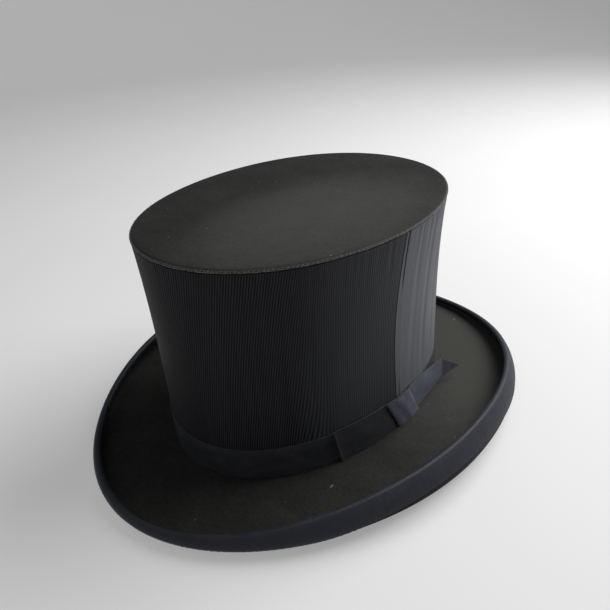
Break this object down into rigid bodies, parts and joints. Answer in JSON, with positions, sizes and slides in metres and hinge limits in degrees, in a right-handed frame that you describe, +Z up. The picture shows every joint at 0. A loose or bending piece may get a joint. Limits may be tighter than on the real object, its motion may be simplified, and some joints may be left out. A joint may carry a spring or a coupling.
{
  "type": "collapsible top hat",
  "caption": "Collapsible top hat: ribbed cloth crown on a sprung folding steel frame, oval tip, ribbon band with side bow, and a curled brim bound in ribbon.",
  "frame": {"origin": "Centre of the box on plan, at the flats under the front and rear of the brim that the hat stands on", "axes": "+Z up through the tip, -Y towards the wearer's front, +X towards the wearer's left, where the bow is"},
  "size_m": [0.2708, 0.3224, 0.147],
  "materials": {
    "ribbed_silk": "black ribbed silk with a soft sheen",
    "black_felt": "matte black felted cloth",
    "grosgrain_ribbon": "black cross-ribbed grosgrain",
    "stiffened_board": "cloth stiffened with shellac",
    "sweatband_leather": "smooth brown leather",
    "black_satin": "black satin",
    "spring_steel": "blued and oiled spring steel strip"
  },
  "bodies": {
    "base": {"brim_board": "stiffened_board", "brim_upper_cover": "black_felt", "brim_lower_cover": "black_felt", "brim_binding": "grosgrain_ribbon", "crown_base_wall": "stiffened_board", "lower_hoop": "spring_steel", "hatband": "grosgrain_ribbon", "bow_front_wing": "grosgrain_ribbon", "bow_knot": "grosgrain_ribbon", "bow_rear_tail": "grosgrain_ribbon", "sweatband": "sweatband_leather", "crown_cloth": "ribbed_silk", "crown_lining": "black_satin", "front_left_lower_lug": "spring_steel", "front_left_lower_pin": "spring_steel", "rear_left_lower_lug": "spring_steel", "rear_left_lower_pin": "spring_steel", "front_right_lower_lug": "spring_steel", "front_right_lower_pin": "spring_steel", "rear_right_lower_lug": "spring_steel", "rear_right_lower_pin": "spring_steel"},
    "front_left_lower": {"front_left_lower_arm": "spring_steel", "front_left_knee_rivet": "spring_steel", "front_left_knee_spring": "spring_steel"},
    "front_left_upper": {"front_left_upper_arm": "spring_steel"},
    "rear_left_lower": {"rear_left_lower_arm": "spring_steel", "rear_left_knee_rivet": "spring_steel", "rear_left_knee_spring": "spring_steel"},
    "rear_left_upper": {"rear_left_upper_arm": "spring_steel"},
    "front_right_lower": {"front_right_lower_arm": "spring_steel", "front_right_knee_rivet": "spring_steel", "front_right_knee_spring": "spring_steel"},
    "front_right_upper": {"front_right_upper_arm": "spring_steel"},
    "rear_right_lower": {"rear_right_lower_arm": "spring_steel", "rear_right_knee_rivet": "spring_steel", "rear_right_knee_spring": "spring_steel"},
    "rear_right_upper": {"rear_right_upper_arm": "spring_steel"},
    "top": {"tip_cover": "black_felt", "tip_board": "stiffened_board", "tip_welt": "ribbed_silk", "tip_lining": "black_satin", "upper_hoop": "spring_steel", "front_left_upper_lug": "spring_steel", "front_left_upper_pin": "spring_steel", "rear_left_upper_lug": "spring_steel", "rear_left_upper_pin": "spring_steel", "front_right_upper_lug": "spring_steel", "front_right_upper_pin": "spring_steel", "rear_right_upper_lug": "spring_steel", "rear_right_upper_pin": "spring_steel"}
  },
  "joints": [
    {"name": "collapse", "type": "hinge", "parent": "base", "child": "front_left_lower", "pos_m": [0.06133, -0.0603, 0.03356], "axis": [-0.9664, 0.2572, 0], "range_deg": [0, 84], "stiffness_Nm_per_rad": 0.05, "springref_deg": -17.19, "deforming": ["crown_cloth", "crown_lining"]},
    {"name": "front_left_knee", "type": "hinge", "parent": "front_left_lower", "child": "front_left_upper", "pos_m": [0.06133, -0.0603, 0.08761], "axis": [-0.9664, 0.2572, 0], "range_deg": [-168, 0]},
    {"name": "rear_left_lower_hinge", "type": "hinge", "parent": "base", "child": "rear_left_lower", "pos_m": [0.06133, 0.0603, 0.03356], "axis": [0.9664, 0.2572, 0], "range_deg": [0, 84]},
    {"name": "rear_left_knee", "type": "hinge", "parent": "rear_left_lower", "child": "rear_left_upper", "pos_m": [0.06133, 0.0603, 0.08761], "axis": [0.9664, 0.2572, 0], "range_deg": [-168, 0]},
    {"name": "front_right_lower_hinge", "type": "hinge", "parent": "base", "child": "front_right_lower", "pos_m": [-0.06133, -0.0603, 0.03356], "axis": [-0.9664, -0.2572, 0], "range_deg": [0, 84]},
    {"name": "front_right_knee", "type": "hinge", "parent": "front_right_lower", "child": "front_right_upper", "pos_m": [-0.06133, -0.0603, 0.08761], "axis": [-0.9664, -0.2572, 0], "range_deg": [-168, 0]},
    {"name": "rear_right_lower_hinge", "type": "hinge", "parent": "base", "child": "rear_right_lower", "pos_m": [-0.06133, 0.0603, 0.03356], "axis": [0.9664, -0.2572, 0], "range_deg": [0, 84]},
    {"name": "rear_right_knee", "type": "hinge", "parent": "rear_right_lower", "child": "rear_right_upper", "pos_m": [-0.06133, 0.0603, 0.08761], "axis": [0.9664, -0.2572, 0], "range_deg": [-168, 0]},
    {"name": "tip_level", "type": "hinge", "parent": "front_left_upper", "child": "top", "pos_m": [0.06133, -0.0603, 0.14166], "axis": [-0.9664, 0.2572, 0], "range_deg": [0, 84]}
  ],
  "couplings": [
    {"joint": "front_left_knee", "follows": "collapse", "ratio": -2},
    {"joint": "rear_left_lower_hinge", "follows": "collapse", "ratio": 1},
    {"joint": "rear_left_knee", "follows": "collapse", "ratio": -2},
    {"joint": "front_right_lower_hinge", "follows": "collapse", "ratio": 1},
    {"joint": "front_right_knee", "follows": "collapse", "ratio": -2},
    {"joint": "rear_right_lower_hinge", "follows": "collapse", "ratio": 1},
    {"joint": "rear_right_knee", "follows": "collapse", "ratio": -2},
    {"joint": "tip_level", "follows": "collapse", "ratio": 1}
  ]
}
